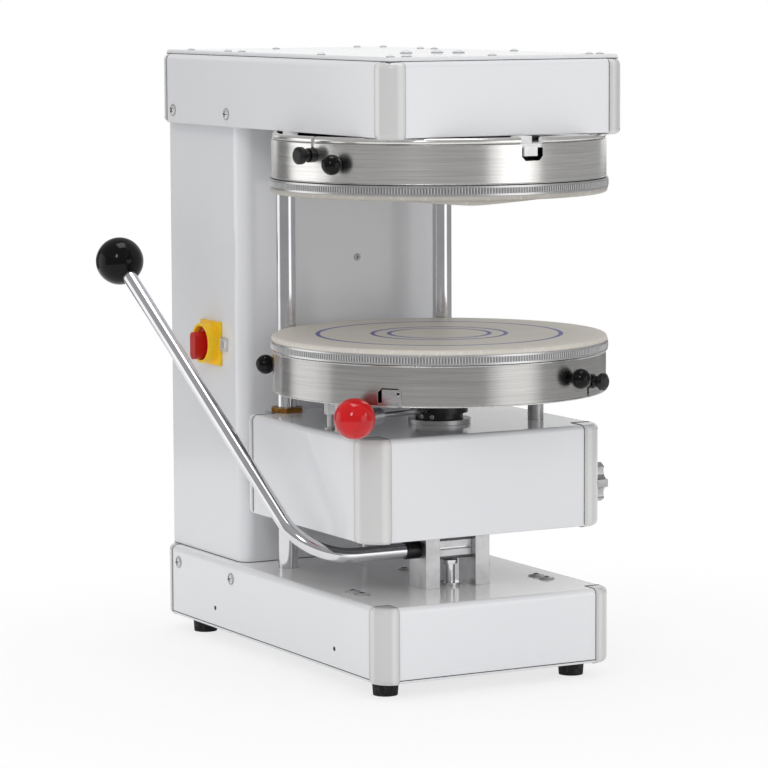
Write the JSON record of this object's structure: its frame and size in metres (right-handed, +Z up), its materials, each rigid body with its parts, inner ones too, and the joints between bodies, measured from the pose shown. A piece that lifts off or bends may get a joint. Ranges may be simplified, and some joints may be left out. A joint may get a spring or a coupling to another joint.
{
  "type": "pizza dough press",
  "caption": "Bench-top pizza dough press: a side lever lifts a round lower plate on a carriage along guide columns against a motor-turned upper plate under a box head.",
  "frame": {"origin": "on the floor under the middle of the object's bounding box", "axes": "+Z up, -Y towards the front with the press plates, +X to the right, the lever on the left"},
  "size_m": [0.4172, 0.5579, 0.6227],
  "materials": {
    "panel": "satin",
    "trim": "satin",
    "brushed": "brushed",
    "chrome": "polished",
    "machined": "machined",
    "steel": "machined",
    "cream": "satin",
    "black": "gloss",
    "rubber": "matte",
    "bronze": "machined",
    "red": "gloss",
    "yellow": "satin",
    "clear": "gloss",
    "motor": "painted"
  },
  "bodies": {
    "frame": {"base_shell": "panel", "base_chassis": "steel", "base_corner_trims": "trim", "rubber_feet": "rubber", "column_cover": "panel", "column_back_panel": "panel", "cable_gland": "black", "guide_columns": "chrome", "head_shell": "panel", "head_lid": "panel", "head_corner_trims": "trim", "head_frame": "machined", "spindle_bearings": "steel", "gear_motor": "motor", "drive_belt": "rubber", "upper_carrier": "steel", "upper_skirt": "brushed", "upper_ball_knobs": "black", "upper_plunger_bush": "black", "shaft_pillars": "machined", "steady_post": "chrome", "switch_plate": "yellow", "switch_body": "black", "padlock_tab": "clear"},
    "upper_turning_plate": {"upper_spindle": "machined", "spindle_pulley": "machined", "upper_knurled_ring": "machined", "upper_press_plate": "cream"},
    "motor_drive": {"motor_pulley": "machined"},
    "carriage": {"carriage_shell": "panel", "carriage_corner_trims": "trim", "carriage_frame": "machined", "guide_bushes": "bronze", "follower_pin": "steel", "down_stop_screw": "steel", "hub_ring": "steel", "carrier_posts": "chrome", "block_post": "steel", "lower_carrier": "steel", "lower_skirt": "brushed", "lower_ball_knobs": "black", "lower_plunger_bush": "black"},
    "lever": {"lever_rod": "chrome", "lever_ball": "black", "lever_boss": "black", "lift_cam": "brushed"},
    "follower": {"follower_roller": "steel"},
    "thickness_lever": {"hub_collar": "black", "red_ball_rod": "chrome", "red_ball": "red"},
    "lower_lift": {"lower_sleeve": "steel", "lower_bearing": "steel"},
    "lower_turning_plate": {"lower_turntable": "machined", "lower_knurled_ring": "machined", "lower_press_plate": "cream"},
    "switch_handle": {"switch_knob": "red"},
    "star_handle": {"star_knob": "steel"},
    "upper_index_plunger": {"upper_plunger": "black"},
    "lower_index_plunger": {"lower_plunger": "black"}
  },
  "joints": [
    {"name": "carriage_lift", "type": "slide", "parent": "frame", "child": "carriage", "axis": [0, 0, 1], "range_m": [0, 0.13483]},
    {"name": "lever_swing", "type": "hinge", "parent": "frame", "child": "lever", "pos_m": [0.02075, -0.12302, 0.1298], "axis": [1, 0, 0], "range_deg": [0, 92]},
    {"name": "roller_spin", "type": "hinge", "parent": "carriage", "child": "follower", "pos_m": [0.02075, -0.12302, 0.1878], "axis": [1, 0, 0], "continuous": true},
    {"name": "upper_plate_spin", "type": "hinge", "parent": "frame", "child": "upper_turning_plate", "pos_m": [0.02075, -0.10302, 0.5002], "axis": [0, 0, 1], "continuous": true},
    {"name": "motor_spin", "type": "hinge", "parent": "frame", "child": "motor_drive", "pos_m": [0.02075, 0.18098, 0.5983], "axis": [0, 0, 1], "continuous": true},
    {"name": "plate_rise", "type": "slide", "parent": "carriage", "child": "lower_lift", "axis": [0, 0, 1], "range_m": [0, 0.00167]},
    {"name": "thickness_swing", "type": "hinge", "parent": "carriage", "child": "thickness_lever", "pos_m": [0.02075, -0.10302, 0.2716], "axis": [0, 0, 1], "range_deg": [0, 50.01]},
    {"name": "lower_plate_spin", "type": "hinge", "parent": "lower_lift", "child": "lower_turning_plate", "pos_m": [0.02075, -0.10302, 0.3434], "axis": [0, 0, 1], "continuous": true},
    {"name": "switch_turn", "type": "hinge", "parent": "frame", "child": "switch_handle", "pos_m": [-0.10125, 0.16498, 0.3173], "axis": [1, 0, 0], "range_deg": [0, 90]},
    {"name": "star_knob_turn", "type": "hinge", "parent": "carriage", "child": "star_handle", "pos_m": [0.15675, -0.15802, 0.1901], "axis": [1, 0, 0], "continuous": true},
    {"name": "upper_plunger_pull", "type": "slide", "parent": "frame", "child": "upper_index_plunger", "axis": [-0.972, -0.2351, 0], "range_m": [0, 0.006], "stiffness_N_per_m": 600, "springref_m": -0.002},
    {"name": "lower_plunger_pull", "type": "slide", "parent": "carriage", "child": "lower_index_plunger", "axis": [0.521, -0.8536, 0], "range_m": [0, 0.006], "stiffness_N_per_m": 600, "springref_m": -0.002}
  ],
  "couplings": [
    {"joint": "lever_swing", "follows": "carriage_lift", "rad_per_m": 11.909},
    {"joint": "motor_spin", "follows": "upper_plate_spin", "ratio": 1},
    {"joint": "thickness_swing", "follows": "plate_rise", "rad_per_m": 523.6}
  ]
}
